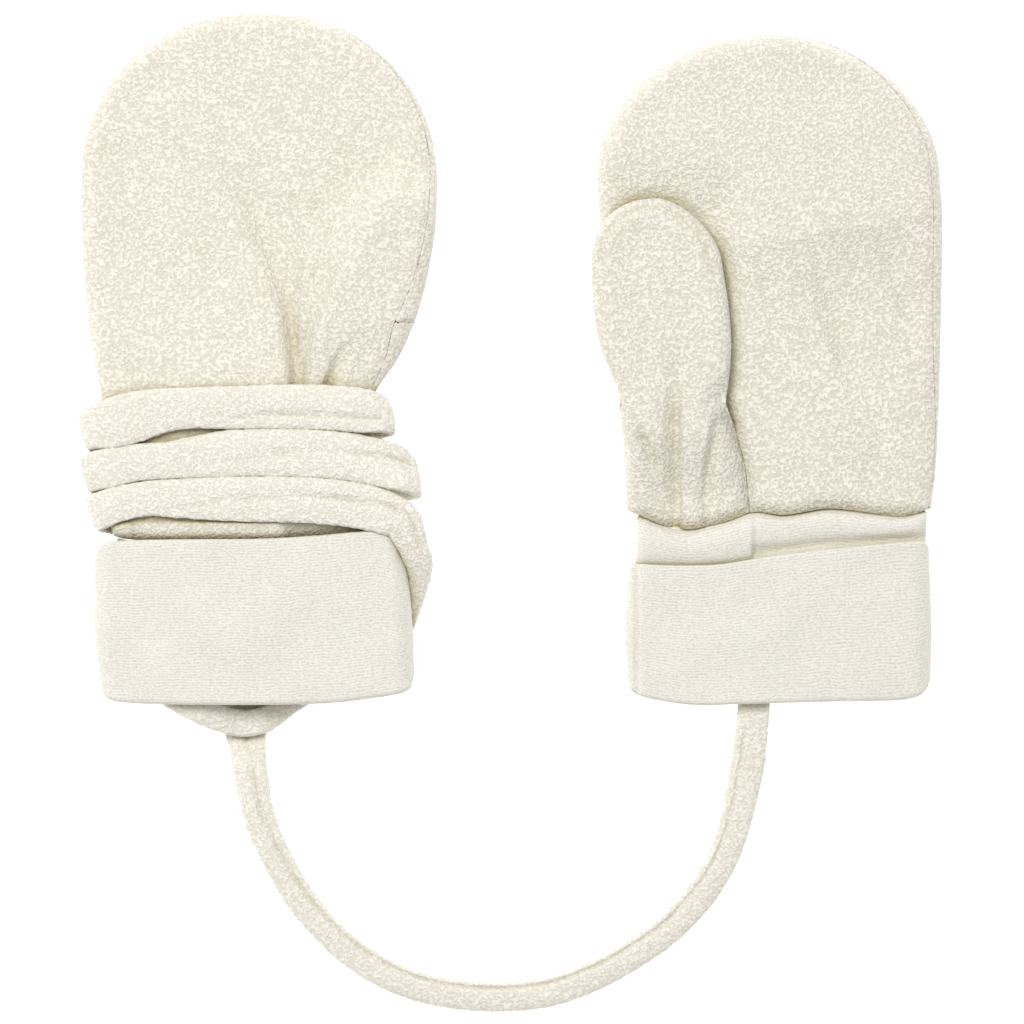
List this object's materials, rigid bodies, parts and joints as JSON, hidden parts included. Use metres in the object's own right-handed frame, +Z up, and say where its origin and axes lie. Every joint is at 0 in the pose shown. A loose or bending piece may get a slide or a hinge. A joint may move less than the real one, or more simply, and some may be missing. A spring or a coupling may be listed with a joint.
{
  "type": "pair of baby mittens",
  "caption": "Fleece baby mittens with folded thumbs and turned-up jersey cuffs, joined by a long fleece cord wound round one wrist, laid flat.",
  "frame": {"origin": "on the surface the mittens lie on, under the middle of the box round both mittens and the wound cord, without the free cord", "axes": "+X to the right across the pair, from the mitten that lies back up to the one that lies palm up; +Y towards the finger tips; +Z up from the surface"},
  "size_m": [0.1902, 0.2199, 0.0141],
  "materials": {
    "cream_fleece": "matt brushed fleece with a short curly pile",
    "cream_jersey": "matt double jersey knit"
  },
  "bodies": {
    "root": {"palm_up_back": "cream_fleece", "palm_up_palm": "cream_fleece", "palm_up_thumb_back": "cream_fleece", "palm_up_thumb_front": "cream_fleece", "palm_up_cuff": "cream_jersey", "back_up_back": "cream_fleece", "back_up_palm": "cream_fleece", "back_up_thumb_back": "cream_fleece", "back_up_thumb_front": "cream_fleece", "back_up_cuff": "cream_jersey", "cord_wound": "cream_fleece", "cord_free": "cream_fleece", "cord_end": "cream_fleece"}
  },
  "joints": []
}
